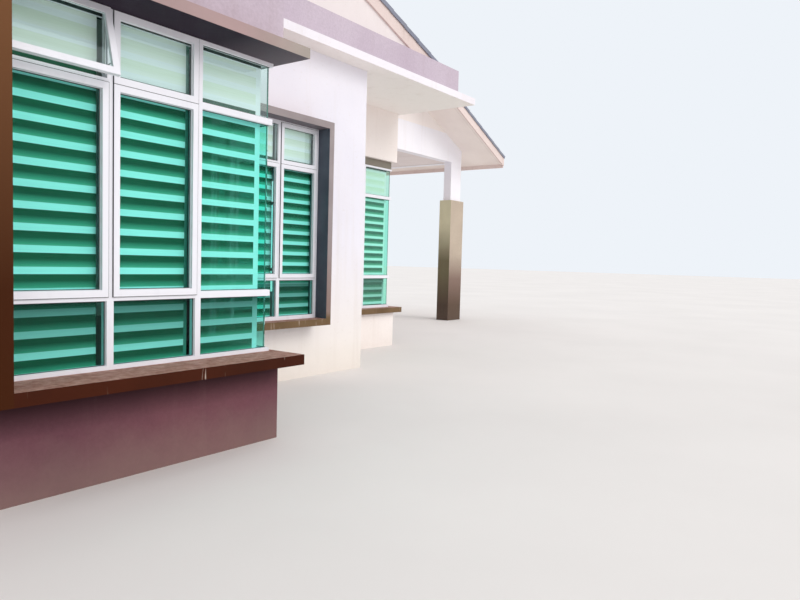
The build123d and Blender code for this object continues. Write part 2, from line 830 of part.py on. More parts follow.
with BuildPart() as window_three_hood:
    hood_x = front_x - hood_three_in
    hood_y = bay_three_y + hood_three_in
    block(window_three_x0, hood_x, hood_y, bay_three_y + wall, head_three, window_three_top)
    block(front_x - wall, hood_x, bay_three_y + wall, return_three_y, head_three, window_three_top)
window_three_hood.part.label = "window_three_hood"
export_step(window_three_hood.part, "parts/window_three_hood.step")

# Frame, sashes, panes and blinds of the third window
glass_three_y = bay_three_y + glass_three_in
glass_three_x = front_x - glass_three_in
face_three = glass_three_y - glass_in
back_three = face_three + frame_depth
front_three_x = glass_three_x + glass_in
rear_three_x = front_three_x - frame_depth
mullion_three = window_three_x0 + rail + light_three_a
mullions_three = (mullion_three, mullion_three + bar + light_three_b)
heights_three = (
    (sill_three, sill_three + rail),
    (transom_three_z, transom_three_z + bar),
    (transom_high_z, transom_high_z + bar),
    (head_three - slim_rail, head_three),
)
with BuildPart() as window_three_frame:
    for z0, z1 in heights_three:
        block(window_three_x0, front_three_x, face_three, back_three, z0, z1)
        block(rear_three_x, front_three_x, back_three, return_three_y, z0, z1)
    block(window_three_x0, window_three_x0 + rail, face_three, back_three, sill_three, head_three)
    for x in mullions_three:
        block(x, x + bar, face_three, back_three, sill_three, head_three)
    block(rear_three_x, front_three_x, return_three_y - rail, return_three_y, sill_three, head_three)
window_three_frame.part.label = "window_three_frame"
export_step(window_three_frame.part, "parts/window_three_frame.step")

rows_three = [(low[1], high[0]) for low, high in zip(heights_three, heights_three[1:])]
columns_three = (
    (window_three_x0 + rail, mullions_three[0]),
    (mullions_three[0] + bar, mullions_three[1]),
    (mullions_three[1] + bar, glass_three_x),
)
lights_three = lights(columns_three, rows_three)
sashes_three = ("middle left", "middle centre")
with BuildPart() as window_three_sashes:
    for name in sashes_three:
        sash(*lights_three[name], face_three)
window_three_sashes.part.label = "window_three_sashes"
export_step(window_three_sashes.part, "parts/window_three_sashes.step")

with BuildPart() as window_three_panes:
    for name, light in lights_three.items():
        if name in sashes_three:
            light = sash_glass(*light)
        block(*light[:2], glass_three_y - pane / 2, glass_three_y + pane / 2, *light[2:])
    for z0, z1 in rows_three:
        block(glass_three_x - pane, glass_three_x, glass_three_y + pane / 2 + glass_joint,
              return_three_y - rail, z0, z1)
window_three_panes.part.label = "window_three_panes"
export_step(window_three_panes.part, "parts/window_three_panes.step")

edges_three = (window_three_x0, mullions_three[0] + bar / 2, mullions_three[1] + bar / 2, rear_three_x)
with BuildPart() as window_three_blinds:
    for x0, x1 in zip(edges_three, edges_three[1:]):
        blind(x0 + blind_edge, x1 - blind_edge, back_three, sill_three + blind_edge, head_three)
window_three_blinds.part.label = "window_three_blinds"
export_step(window_three_blinds.part, "parts/window_three_blinds.step")

# Front window by the porch, two columns of lights
front_face = front_x - room_frame_in
with BuildPart() as front_window_frame:
    y0, y1 = front_window
    middle = (y0 + y1) / 2
    front_columns = ((y0 + rail, middle - bar / 2), (middle + bar / 2, y1 - rail))
    with BuildSketch(Plane.YZ.offset(front_face - frame_depth)):
        rect(y0, y1, sill_two, head_two)
        for a, b in front_columns:
            for z0, z1 in rows_two:
                rect(a, b, z0, z1, Mode.SUBTRACT)
    extrude(amount=frame_depth)
front_window_frame.part.label = "front_window_frame"
export_step(front_window_frame.part, "parts/front_window_frame.step")

with BuildPart() as front_window_panes:
    for a, b in front_columns:
        for z0, z1 in rows_two:
            block(front_face - glass_in - pane, front_face - glass_in, a, b, z0, z1)
front_window_panes.part.label = "front_window_panes"
export_step(front_window_panes.part, "parts/front_window_panes.step")

# Front door in its frame
door_face = front_x - door_setback
leaf_x = door_face - leaf_thick
with BuildPart() as front_door_frame:
    with BuildSketch(Plane.YZ.offset(door_face - door_frame_depth)):
        rect(*front_door, floor_z, door_top)
        rect(front_door[0] + door_rail, front_door[1] - door_rail,
             floor_z, door_top - door_rail, Mode.SUBTRACT)
    extrude(amount=door_frame_depth)
front_door_frame.part.label = "front_door_frame"
export_step(front_door_frame.part, "parts/front_door_frame.step")

with BuildPart() as front_door_leaf:
    block(leaf_x - leaf_thick, leaf_x, front_door[0] + door_rail, front_door[1] - door_rail,
          floor_z, door_top - door_rail)
front_door_leaf.part.label = "front_door_leaf"
export_step(front_door_leaf.part, "parts/front_door_leaf.step")

# Rear windows, the same make
rear_face = rear_x + room_frame_in
with BuildPart() as rear_window_frames:
    for y0, y1 in rear_windows:
        middle = (y0 + y1) / 2
        with BuildSketch(Plane.YZ.offset(rear_face)):
            rect(y0, y1, sill_two, head_two)
            for a, b in ((y0 + rail, middle - bar / 2), (middle + bar / 2, y1 - rail)):
                for z0, z1 in rows_two:
                    rect(a, b, z0, z1, Mode.SUBTRACT)
        extrude(amount=frame_depth)
rear_window_frames.part.label = "rear_window_frames"
export_step(rear_window_frames.part, "parts/rear_window_frames.step")

with BuildPart() as rear_window_panes:
    for y0, y1 in rear_windows:
        middle = (y0 + y1) / 2
        for a, b in ((y0 + rail, middle - bar / 2), (middle + bar / 2, y1 - rail)):
            for z0, z1 in rows_two:
                block(rear_face + glass_in, rear_face + glass_in + pane, a, b, z0, z1)
rear_window_panes.part.label = "rear_window_panes"
export_step(rear_window_panes.part, "parts/rear_window_panes.step")
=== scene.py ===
"""Dressing of the semi-detached house, in metres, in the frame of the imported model."""
import json
import random
from math import ceil, cos, pi, radians, sin

import bmesh
import bpy
from mathutils import Matrix, Vector


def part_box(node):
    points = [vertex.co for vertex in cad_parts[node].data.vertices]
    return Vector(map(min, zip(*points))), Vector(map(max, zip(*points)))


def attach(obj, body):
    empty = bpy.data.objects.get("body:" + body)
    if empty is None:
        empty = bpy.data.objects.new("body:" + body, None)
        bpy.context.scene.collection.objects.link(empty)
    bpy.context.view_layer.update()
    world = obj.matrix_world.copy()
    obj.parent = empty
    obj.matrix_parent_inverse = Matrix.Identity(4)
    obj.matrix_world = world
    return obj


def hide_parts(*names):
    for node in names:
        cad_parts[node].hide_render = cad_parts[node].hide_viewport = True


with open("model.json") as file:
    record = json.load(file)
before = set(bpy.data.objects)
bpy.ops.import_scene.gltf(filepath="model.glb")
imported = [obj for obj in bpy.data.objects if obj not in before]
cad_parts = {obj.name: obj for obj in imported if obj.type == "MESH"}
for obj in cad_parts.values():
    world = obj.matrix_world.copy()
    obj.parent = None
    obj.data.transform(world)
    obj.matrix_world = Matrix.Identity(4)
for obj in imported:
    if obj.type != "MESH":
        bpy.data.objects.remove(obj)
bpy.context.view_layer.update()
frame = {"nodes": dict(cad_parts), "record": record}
cad = frame["nodes"]
chance = random.Random(7)

# Camera at the photograph's place
camera_data = bpy.data.cameras.new("camera")
camera_data.lens = 30.44
camera_data.sensor_width = 36
camera_data.clip_end = 500
camera = bpy.data.objects.new("camera", camera_data)
camera_place = Vector((-5.0, -8.0, 1.40))
turn = Matrix.Rotation(radians(-54.02), 4, "Z")
tilt = Matrix.Rotation(radians(86.73), 4, "X")
roll = Matrix.Rotation(radians(1.56), 4, "Z")
camera.matrix_world = Matrix.Translation(camera_place) @ turn @ tilt @ roll
bpy.context.collection.objects.link(camera)
bpy.context.scene.camera = camera
bpy.context.scene.view_settings.view_transform = "Standard"


def shade(red, green, blue):
    """Colour as it looks on a screen, 0 to 255, as Blender's linear one."""
    parts = []
    for part in (red, green, blue):
        part = part / 255
        parts.append(part / 12.92 if part < 0.04045 else ((part + 0.055) / 1.055) ** 2.4)
    return (*parts, 1)


def add_node(tree, kind, inputs=None, **settings):
    """Node of a tree, with its inputs linked to sockets or set to values."""
    made = tree.nodes.new(kind)
    for key, value in settings.items():
        setattr(made, key, value)
    for key, value in (inputs or {}).items():
        if isinstance(value, bpy.types.NodeSocket):
            tree.links.new(value, made.inputs[key])
        else:
            made.inputs[key].default_value = value
    return made


# Parts of a normal along an axis, at which a face starts to count as turned that way and fully does
turned_to = (0.5, 0.9)
turned_from = (-0.5, -0.9)


class Paint:
    """Material of nodes over the object's own place, in metres."""

    def __init__(self, name):
        self.material = bpy.data.materials.new(name)
        self.material.use_nodes = True
        self.tree = self.material.node_tree
        self.shader = self.tree.nodes["Principled BSDF"]
        self.place = self.node("ShaderNodeTexCoord").outputs["Object"]
        self.along, self.across, self.level = self.node("ShaderNodeSeparateXYZ", {0: self.place}).outputs

    def node(self, kind, inputs=None, **settings):
        return add_node(self.tree, kind, inputs, **settings)

    def uniform(self, name, value):
        """Number that is the same all over the surface, on the shader's own socket."""
        self.shader.inputs[name].default_value = value

    def stretch(self, size):
        """The place with its axes scaled: under 1 draws a pattern out."""
        return self.node("ShaderNodeMapping", {"Vector": self.place, "Scale": size}).outputs[0]

    def noise(self, scale, detail=4, rough=0.55, size=(1, 1, 1)):
        inputs = {"Vector": self.stretch(size), "Scale": scale, "Detail": detail, "Roughness": rough}
        return self.node("ShaderNodeTexNoise", inputs).outputs[0]

    def between(self, value, low, high, start=0, end=1):
        """Ramp from start to end while the value goes from low to high."""
        inputs = {"Value": value, "From Min": low, "From Max": high, "To Min": start, "To Max": end}
        return self.node("ShaderNodeMapRange", inputs).outputs[0]

    def math(self, operation, first, second=0.5):
        return self.node("ShaderNodeMath", {0: first, 1: second}, operation=operation).outputs[0]

    def times(self, first, second):
        return self.math("MULTIPLY", first, second)

    def mix(self, share, first, second):
        return self.node("ShaderNodeMix", {0: share, 6: first, 7: second}, data_type="RGBA").outputs[2]

    def facing(self, axis):
        """Part of the surface's normal along an axis, from -1 to 1."""
        normal = self.node("ShaderNodeNewGeometry").outputs["Normal"]
        return self.node("ShaderNodeSeparateXYZ", {0: normal}).outputs[axis]

    def clouds(self, scale, detail=6):
        """Soft patches, from 0 to 1."""
        return self.between(self.noise(scale, detail), 0.35, 0.7)

    def roughness(self, noise, low, high):
        """Roughness from low to high over a fine noise."""
        return self.between(noise, 0.3, 0.7, low, high)

    def stain(self, colour, mask, share, tone):
        """The colour with a share of another tone where the mask is."""
        return self.mix(self.times(mask, share), colour, shade(*tone))

    def splashes(self, scale, detail, ragged, dry, wet):
        """Mask of a wall's foot, from the dry height down to the wet one, with a ragged edge."""
        edge = self.math("ADD", self.level, self.times(self.noise(scale, detail), -ragged))
        return self.between(edge, dry, wet)

    def finish(self, colour, rough, *heights):
        """Colour, roughness and bumps of (height, metres); sockets or plain values."""
        for key, value in (("Base Color", colour), ("Roughness", rough)):
            if isinstance(value, bpy.types.NodeSocket):
                self.tree.links.new(value, self.shader.inputs[key])
            else:
                self.uniform(key, value)
        normal = None
        for height, distance in heights:
            inputs = {"Height": height, "Strength": 1.0, "Distance": distance}
            if normal:
                inputs["Normal"] = normal
            normal = self.node("ShaderNodeBump", inputs).outputs[0]
        if normal:
            self.tree.links.new(normal, self.shader.inputs["Normal"])
        return self.material


def plaster(name, main, other, dirt, splash=0.35, streak=0.25, under=None, low=None):
    """Painted render: cloudy colour, rain streaks, splashes at the foot, fine grain."""
    painted_bounce_heights = (1.6, 0.2)
    p = Paint(name)
    colour = p.mix(p.clouds(0.9), shade(*main), shade(*other))
    # Warmer towards the foot: painted light bounced up from the ground
    if low:
        colour = p.mix(p.between(p.level, *painted_bounce_heights), colour, shade(*low))
    # Paler cream on faces turned down: painted light bounced up from the ground
    if under:
        colour = p.mix(p.between(p.facing("Z"), *turned_from), colour, shade(*under))
    rain = p.between(p.noise(5, 5, 0.6, size=(1, 1, 0.06)), 0.56, 0.75)
    colour = p.stain(colour, rain, streak, dirt)
    colour = p.stain(colour, p.splashes(3, 5, ragged=0.25, dry=0.30, wet=-0.12), splash, dirt)
    specks = p.between(p.noise(28, 3), 0.62, 0.75)
    colour = p.stain(colour, specks, 0.25, dirt)
    grain = p.noise(260, 3, 0.6)
    trowel = p.noise(4, 3)
    return p.finish(colour, p.roughness(grain, 0.78, 0.95), (trowel, 0.006), (grain, 0.0012))


def plum_plaster(name):
    """Plum paint, with a painted shadow under window one's ledge, turning mauve above its hood."""
    hood_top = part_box("window_one_surround")[1].z
    mauve_rise = (2.6, hood_top)
    ledge_shadow_rise = (0.36, 0.60)
    ledge_shadow_end = (0.70, 0.64)
    ledge_shadow_start = (-3.9, -3.5)
    p = Paint(name)
    p.uniform("Specular IOR Level", 0.15)
    clouds = p.clouds(0.8)
    low = p.mix(clouds, shade(124, 80, 88), shade(106, 68, 78))
    high = p.mix(clouds, shade(206, 192, 204), shade(194, 178, 192))
    # Painted shadow under window one's ledge, right of its left end: the plum goes near black towards the
    # ledge
    ledge_shadow = p.times(p.between(p.level, *ledge_shadow_rise), p.between(p.level, *ledge_shadow_end))
    ledge_shadow = p.times(ledge_shadow, p.between(p.along, *ledge_shadow_start))
    low = p.mix(ledge_shadow, low, shade(30, 3, 4))
    # Plum below the hood, mauve above it
    colour = p.mix(p.between(p.level, *mauve_rise), low, high)
    rain = p.between(p.noise(5, 5, 0.6, size=(1, 1, 0.05)), 0.55, 0.75)
    colour = p.stain(colour, rain, 0.14, (150, 125, 120))
    mottle = p.between(p.noise(42, 6, 0.75), 0.35, 0.65)
    colour = p.stain(colour, mottle, 0.16, (60, 34, 40))
    colour = p.stain(colour, p.splashes(4, 5, ragged=0.25, dry=0.22, wet=-0.12), 0.4, (150, 130, 118))
    grain = p.noise(240, 3, 0.6)
    trowel = p.noise(4, 3)
    return p.finish(colour, p.roughness(grain, 0.7, 0.92), (trowel, 0.006), (grain, 0.0012))


def brown_paint(name):
    """Brown paint of the surrounds: dusty tops, shaded undersides, pale drips, hoods in painted light and
    shade, and window two's grey box, its reveal in painted shade.
    """
    jamb_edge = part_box("window_one_frame")[0].x
    box_low, box_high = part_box("window_two_surround")
    box_middle = (box_low.x + box_high.x) / 2
    box_half = (box_high.x - box_low.x) / 2
    near_to_far = (-1.20, -1.10)
    near_corner = (-1.95, -1.25)
    bay_hood = (1.5, 2.0)
    jamb_fade = (1.2, 2.7)
    hood_foot = (2.80, 2.86)
    box_fade = (1.7, 0.9)
    box_foot = (0.72, 0.80)
    drip_top = (1.0, 0.9)
    p = Paint(name)
    p.uniform("Specular IOR Level", 0.1)
    clouds = p.clouds(2.2)
    from_middle = p.math("ABSOLUTE", p.math("SUBTRACT", p.along, box_middle))
    near = p.mix(clouds, shade(68, 26, 8), shade(56, 20, 5))
    far = p.mix(clouds, shade(124, 100, 74), shade(104, 82, 57))
    jamb = p.mix(p.between(p.level, *jamb_fade), shade(62, 26, 2), shade(112, 74, 46))
    near = p.mix(p.between(p.along, jamb_edge + 0.002, jamb_edge - 0.002), near, jamb)
    colour = p.mix(p.between(p.along, *near_to_far), near, far)
    corner = p.between(p.along, *near_corner)
    # Hoods: window one's paler tone is painted light, window three's darker olive its brown paint with
    # painted shade
    hood = p.mix(corner, shade(174, 148, 147), shade(167, 161, 151))
    hood = p.mix(p.between(p.along, *bay_hood), hood, shade(132, 129, 116))
    hood = p.stain(hood, clouds, 0.4, (138, 118, 116))
    colour = p.mix(p.between(p.level, *hood_foot), colour, hood)
    box = p.mix(clouds, shade(164, 153, 153), shade(146, 135, 136))
    box = p.mix(p.between(p.level, *box_fade, 0, 0.9), box, shade(140, 116, 108))
    boxed = p.between(from_middle, box_half + 0.008, box_half - 0.002)
    colour = p.mix(p.times(boxed, p.between(p.level, *box_foot)), colour, box)
    # Slate dark on the side faces within window two's box: painted shade in its reveal
    side = p.between(p.math("ABSOLUTE", p.facing("X")), *turned_to)
    slate = p.mix(clouds, shade(96, 104, 116), shade(78, 84, 96))
    within = p.between(from_middle, box_half - 0.052, box_half - 0.062)
    colour = p.mix(p.times(side, within), colour, slate)
    up = p.facing("Z")
    dust = p.mix(p.between(p.noise(16, 8, 0.75), 0.35, 0.65), shade(136, 88, 76), shade(190, 152, 140))
    colour = p.mix(p.between(up, 0.5, 0.95), colour, dust)
    shadow = p.mix(corner, shade(50, 40, 54), shade(124, 114, 122))
    colour = p.mix(p.between(up, -0.5, -0.95), colour, shadow)
    drips = p.between(p.noise(34, 3, 0.5, size=(1, 1, 0.10)), 0.67, 0.73)
    patch = p.between(p.noise(1.3, 2), 0.50, 0.62)
    drips = p.times(p.times(drips, patch), p.between(p.level, *drip_top))
    colour = p.stain(colour, drips, 0.75, (205, 188, 176))
    grain = p.noise(200, 3)
    return p.finish(colour, p.roughness(grain, 0.5, 0.72), (p.noise(5, 3), 0.004), (grain, 0.0006))


def aluminium(name):
    """White powder coat: slight orange peel and grey water marks."""
    p = Paint(name)
    p.uniform("Coat Weight", 0.15)
    marks = p.between(p.noise(9, 5, 0.6, size=(1, 1, 0.3)), 0.55, 0.75)
    colour = p.stain(shade(237, 236, 243), marks, 0.28, (206, 208, 215))
    peel = p.noise(420, 2)
    return p.finish(colour, p.between(marks, 0, 1, 0.30, 0.48), (peel, 0.0002))


def tile_clay(name):
    """Slate grey concrete tile: no two tiles of quite one tone, with moss and lime bloom."""
    p = Paint(name)
    each = p.node("ShaderNodeNewGeometry").outputs["Random Per Island"]
    colour = p.mix(each, shade(116, 119, 136), shade(134, 137, 152))
    bloom = p.between(p.noise(2.5, 6, 0.6), 0.5, 0.75)
    colour = p.stain(colour, bloom, 0.45, (150, 148, 150))
    moss = p.between(p.noise(14, 5, 0.65), 0.62, 0.75)
    colour = p.stain(colour, moss, 0.5, (74, 78, 70))
    sand = p.noise(330, 3, 0.6)
    return p.finish(colour, p.roughness(sand, 0.72, 0.92), (sand, 0.0012))


def roof_deck(name):
    """Slope of a roof: cement-grey bedding under the tiles, a painted lining below."""
    half_board = 0.61
    half_seam = 0.004
    p = Paint(name)
    top = p.mix(p.noise(6, 5), shade(112, 114, 126), shade(90, 92, 104))
    seams = p.between(p.math("PINGPONG", p.across, half_board), half_seam, 0.0)
    lining = p.mix(p.clouds(1.2, 5), shade(250, 240, 234), shade(242, 231, 225))
    lining = p.stain(lining, seams, 0.5, (150, 138, 130))
    colour = p.mix(p.between(p.facing("Z"), 0.2, -0.2), top, lining)
    return p.finish(colour, 0.8, (seams, -0.002), (p.noise(200, 3), 0.0006))


def board_paint(name):
    """Cream pink gloss paint on long boards: brush lines along them, faint stains."""
    p = Paint(name)
    brush = p.noise(45, 4, 0.6, size=(0.15, 1, 1))
    colour = p.mix(p.clouds(1.5, 5), shade(230, 212, 206), shade(220, 200, 194))
    stains = p.between(p.noise(8, 5, 0.6, size=(1, 1, 0.25)), 0.58, 0.78)
    colour = p.stain(colour, stains, 0.4, (170, 150, 140))
    return p.finish(colour, p.roughness(brush, 0.45, 0.62), (brush, 0.0006))


def stone_coat(name):
    """Fine stone-chip coat of the column cladding, splashed at its foot, with painted light: paler at the
    top, painted shade down to the foot and on the side away from the street.
    """
    middle = (1.65, 1.0)
    foot = (0.95, 0.35)
    away_side_middle = (2.35, 1.45)
    away_side_foot = (1.2, 0.35)
    p = Paint(name)
    chips = p.node("ShaderNodeTexVoronoi", {"Vector": p.place, "Scale": 170}).outputs
    tone = p.between(p.node("ShaderNodeSeparateXYZ", {0: chips["Color"]}).outputs[0], 0, 1)
    # Painted light: the top tones paler, painted shade darkening them down to the foot
    colour = p.mix(tone, shade(178, 162, 144), shade(206, 190, 172))
    colour = p.mix(p.between(p.level, *middle), colour, shade(130, 106, 95))
    colour = p.mix(p.between(p.level, *foot), colour, shade(88, 66, 50))
    # Side away from the street: painted glare at the top, painted shade below it
    away_side_light_and_shade = p.mix(p.between(p.level, *away_side_middle), shade(213, 207, 175), shade(111, 103, 76))
    away_side_light_and_shade = p.mix(p.between(p.level, *away_side_foot), away_side_light_and_shade, shade(76, 58, 46))
    colour = p.mix(p.between(p.facing("X"), *turned_from), colour, away_side_light_and_shade)
    colour = p.stain(colour, p.between(p.noise(2, 5), 0.4, 0.7), 0.15, (118, 96, 84))
    colour = p.stain(colour, p.splashes(5, 4, ragged=0.3, dry=0.35, wet=-0.1), 0.4, (92, 78, 66))
    return p.finish(colour, p.between(tone, 0, 1, 0.75, 0.95), (chips["Distance"], 0.0016))


def cement(name, main, other):
    """Bare cement: cloudy grey with pores."""
    p = Paint(name)
    colour = p.mix(p.clouds(1.6), shade(*main), shade(*other))
    pores = p.between(p.noise(60, 4), 0.62, 0.74)
    colour = p.stain(colour, pores, 0.5, (104, 100, 96))
    grain = p.noise(180, 4, 0.65)
    return p.finish(colour, p.roughness(grain, 0.75, 0.95), (grain, 0.0015))


def varnished_wood(name):
    """Brown hardwood: grain along the height under a worn varnish."""
    p = Paint(name)
    p.uniform("Coat Weight", 0.3)
    p.uniform("Coat Roughness", 0.25)
    tall = p.stretch((1, 1, 0.06))
    waves = {"Vector": tall, "Scale": 14, "Distortion": 6, "Detail": 4, "Detail Scale": 2.5}
    rings = p.node("ShaderNodeTexWave", waves, bands_direction="Y").outputs[1]
    colour = p.mix(rings, shade(112, 66, 38), shade(78, 44, 26))
    pores = p.noise(90, 4, 0.6, size=(1, 1, 0.05))
    colour = p.stain(colour, p.between(pores, 0.55, 0.75), 0.5, (52, 30, 18))
    return p.finish(colour, p.roughness(pores, 0.35, 0.55), (pores, 0.0005))


def rubber(name, main, dusty):
    """Gasket, sealant or the blind cases' painted reflection, greyed by dust."""
    p = Paint(name)
    dust = p.between(p.noise(40, 4), 0.5, 0.75)
    return p.finish(p.mix(dust, shade(*main), shade(*dusty)), 0.7, (p.noise(300, 2), 0.0003))


def steel(name):
    """Brushed stainless steel."""
    p = Paint(name)
    p.uniform("Metallic", 1.0)
    brush = p.noise(220, 3, 0.6, size=(0.1, 1, 1))
    colour = p.mix(brush, shade(196, 198, 200), shade(168, 170, 172))
    return p.finish(colour, p.roughness(brush, 0.22, 0.42), (brush, 0.0001))


def green_glass(name, tint, bend):
    """Green float glass that lets daylight on to what is behind it."""
    p = Paint(name)
    p.uniform("Transmission Weight", 1.0)
    p.uniform("IOR", bend)
    path = p.node("ShaderNodeLightPath").outputs
    faint_tint = [part ** 0.5 for part in tint]
    through = p.node("ShaderNodeBsdfTransparent", {"Color": (*faint_tint, 1)}).outputs[0]
    shader = p.shader.outputs[0]
    for ray in ("Is Diffuse Ray", "Is Shadow Ray"):
        shader = p.node("ShaderNodeMixShader", {0: path[ray], 1: shader, 2: through}).outputs[0]
    p.tree.links.new(shader, p.tree.nodes["Material Output"].inputs["Surface"])
    return p.finish((*tint, 1), 0.0)


# Bands of the zebra blinds, as shares of their pitch, and the height above which nets and glass are painted
# pale, a painted reflection of the sky
close_end = 0.345
rear_end = 0.70
sky_reflection_above = 2.43


def woven(name, light, dark, cover, behind=None, pitch=0.0, phase=0.0):
    """Zebra cloth: a close white weave, or a thin net with the rear layer's band behind it."""
    below_transom = (1.135, 1.11)
    low_light = (0.74, 1.09)
    p = Paint(name)
    p.uniform("Alpha", cover)
    p.uniform("Sheen Weight", 0.2)
    threads = []
    for axis in "XZ":
        waves = {"Vector": p.place, "Scale": 95, "Distortion": 0.4}
        threads.append(p.node("ShaderNodeTexWave", waves, bands_direction=axis).outputs[1])
    slub = p.between(p.noise(30, 4, 0.6, size=(0.1, 1, 6)), 0.35, 0.7)
    colour = p.mix(slub, shade(*light), shade(*dark))
    if behind:
        band = p.math("FRACT", p.math("DIVIDE", p.math("SUBTRACT", p.level, phase), pitch))
        colour = p.mix(p.between(band, close_end, rear_end, 1, 0), colour, shade(*behind))
    shaded = p.times(p.between(p.level, *below_transom), p.between(p.level, *low_light, 0.1, 0.8))
    colour = p.mix(shaded, colour, shade(1, 36, 22))
    return p.finish(colour, 0.85, (p.times(*threads), 0.0003))


# Paints of the record's material slots
paints = {
    "concrete": cement("floor_screed", (158, 152, 146), (140, 136, 132)),
    "plum_plaster": plum_plaster("plum_plaster"),
    # The white plaster's warm foot is painted light bounced up from the ground
    "white_plaster": plaster("white_plaster", (239, 236, 244), (232, 229, 239), (212, 200, 190),
                             low=(241, 233, 226)),
    "cream_plaster": plaster("cream_plaster", (237, 228, 227), (229, 219, 218), (206, 190, 180), 0.0, 0.2),
    "roof_tile": tile_clay("roof_tile"),
    "painted_board": board_paint("painted_board"),
    "brown_surround": brown_paint("brown_surround"),
    "taupe_cladding": stone_coat("taupe_cladding"),
    "white_aluminium": aluminium("white_aluminium"),
    "green_glass": green_glass("green_glass", (0.51, 0.97, 0.895), 1.12),
    "blind_cloth": woven("blind_cloth", (246, 246, 250), (238, 239, 244), 1.0),
    "door_wood": varnished_wood("door_wood"),
}
edge_cloth = woven("blind_edge", (96, 146, 134), (74, 124, 112), 0.90)
gasket_rubber = rubber("gasket_rubber", (34, 38, 40), (70, 74, 74))
silicone = rubber("silicone", (66, 118, 108), (90, 140, 130))
# The blind cases' dark green is a painted reflection and shade of the hood
case_painted_reflection = rubber("case_painted_reflection", (36, 56, 52), (50, 72, 66))
bare_steel = steel("bare_steel")
mortar = cement("mortar", (172, 166, 160), (150, 146, 142))

# Paints of single nodes whose tone in the photograph differs from their slot's
# The slab's pale cream underside is painted light bounced up from the ground
slab_paint = plaster("slab_paint", (242, 237, 243), (236, 231, 238), (212, 200, 190), 0.0, 0.2,
                     under=(252, 246, 242))
# A warmer, lighter copy of the white plaster: painted light for the bay wall in the slab's shade
bay_paint = plaster("bay_paint", (249, 240, 236), (243, 233, 228), (214, 200, 190))
# A lighter copy of the white plaster: painted light for the porch's columns and beams in the roof's shade
porch_paint = plaster("porch_paint", (249, 247, 252), (243, 241, 248), (214, 203, 196))
# A lighter copy of the cream plaster: painted light for the porch's gable panels in the roof's shade
panel_paint = plaster("panel_paint", (252, 245, 242), (247, 239, 236), (216, 202, 194), 0.0, 0.2)
deck_paint = roof_deck("roof_deck")
far_pane_paint = green_glass("far_green_glass", (0.60, 0.96, 0.85), 1.2)
own_paint = {
    "window_three_panes": far_pane_paint,
    "flat_roof_slab": slab_paint,
    "bay_three_side_wall": bay_paint,
}
for part in ("column_one", "column_two", "side_beam", "party_beam", "front_beam"):
    own_paint[f"porch_{part}"] = porch_paint
for side in ("gable", "party"):
    own_paint[f"porch_{side}_panel"] = panel_paint
for roof in ("roof", "porch"):
    for side in ("front", "rear"):
        own_paint[f"{roof}_{side}_slope"] = deck_paint

# Upper lights mirror the sky, so their glass is paler
sky_glass = green_glass("sky_glass", (0.86, 0.999, 0.965), 1.52)
far_sky_glass = green_glass("far_glass", (0.74, 0.96, 0.87), 1.4)
for subpart in frame["record"]["subparts"]:
    node = cad[subpart["node"]]
    node.data.materials.clear()
    node.data.materials.append(own_paint.get(subpart["node"], paints[subpart["material_slot"]]))
    if subpart["material_slot"] == "green_glass":
        node.data.materials.append(far_sky_glass if node.name == "window_three_panes" else sky_glass)
        for face in node.data.polygons:
            face.material_index = int((node.matrix_world @ face.center).z > sky_reflection_above)


def piece(name, mesh, slot, *materials, smooth=False):
    """Object of a finished bmesh that rides on the house."""
    bmesh.ops.recalc_face_normals(mesh, faces=mesh.faces)
    data = bpy.data.meshes.new(name)
    mesh.to_mesh(data)
    mesh.free()
    for material in materials or (paints[slot],):
        data.materials.append(material)
    if smooth:
        data.shade_smooth()
    made = bpy.data.objects.new(name, data)
    bpy.context.collection.objects.link(made)
    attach(made, "root")
    return made


def add_box(mesh, low, high, bevel=0.001, material=0):
    """Box between two corners with its edges taken off."""
    low, high = Vector(low), Vector(high)
    place = Matrix.Translation((low + high) / 2) @ Matrix.Diagonal((*(high - low), 1))
    made = bmesh.ops.create_cube(mesh, size=1, matrix=place)
    for face in {face for vertex in made["verts"] for face in vertex.link_faces}:
        face.material_index = material
    edges = {edge for vertex in made["verts"] for edge in vertex.link_edges}
    bmesh.ops.bevel(mesh, geom=list(edges), offset=bevel, segments=2, affect="EDGES", profile=0.5)


def add_ring(mesh, span, section, place, material=0, gap=None):
    """Mitred frame round a0, a1, z0, z1, or open at the low or high end of a, at a glass corner."""
    a0, a1, z0, z1 = span
    loops = []
    for inset, depth in section:
        b0 = a0 - depth if gap == "low" else a0 + inset
        b1 = a1 + depth if gap == "high" else a1 - inset
        corners = ((b0, z0 + inset), (b1, z0 + inset), (b1, z1 - inset), (b0, z1 - inset))
        loops.append([mesh.verts.new(place(a, depth, z)) for a, z in corners])
    skipped = {"low": 0, "high": 2}.get(gap)
    for first, second in zip(loops, loops[1:] + loops[:1]):
        for i in range(4):
            if i != skipped:
                face = mesh.faces.new((first[i], first[i - 1], second[i - 1], second[i]))
                face.material_index = material
    if gap:
        ends = (3, 0) if gap == "low" else (1, 2)
        for i in ends:
            face = mesh.faces.new([loop[i] for loop in loops])
            face.material_index = material


def add_tube(mesh, path, radius, sides=10):
    """Round bar along straight runs between points."""
    for start, end in zip(path, path[1:]):
        start, end = Vector(start), Vector(end)
        along = end - start
        place = Matrix.Translation((start + end) / 2) @ along.to_track_quat("Z", "Y").to_matrix().to_4x4()
        bmesh.ops.create_cone(mesh, cap_ends=True, segments=sides, radius1=radius, radius2=radius,
                              depth=along.length, matrix=place)


# Make of the windows, as in the model
rail = 0.040
bar = 0.046
half_bar = bar / 2
stile = 0.034
sash_rail = 0.021
sash_lap_side = 0.006
sash_lap_end = 0.021
upper_transom = 2.404


def lights_between(low, high, *bars):
    """Lights from low to high between bars, each (start, end)."""
    starts = (low, *(start + bar for start in bars))
    return list(zip(starts, (*bars, high)))


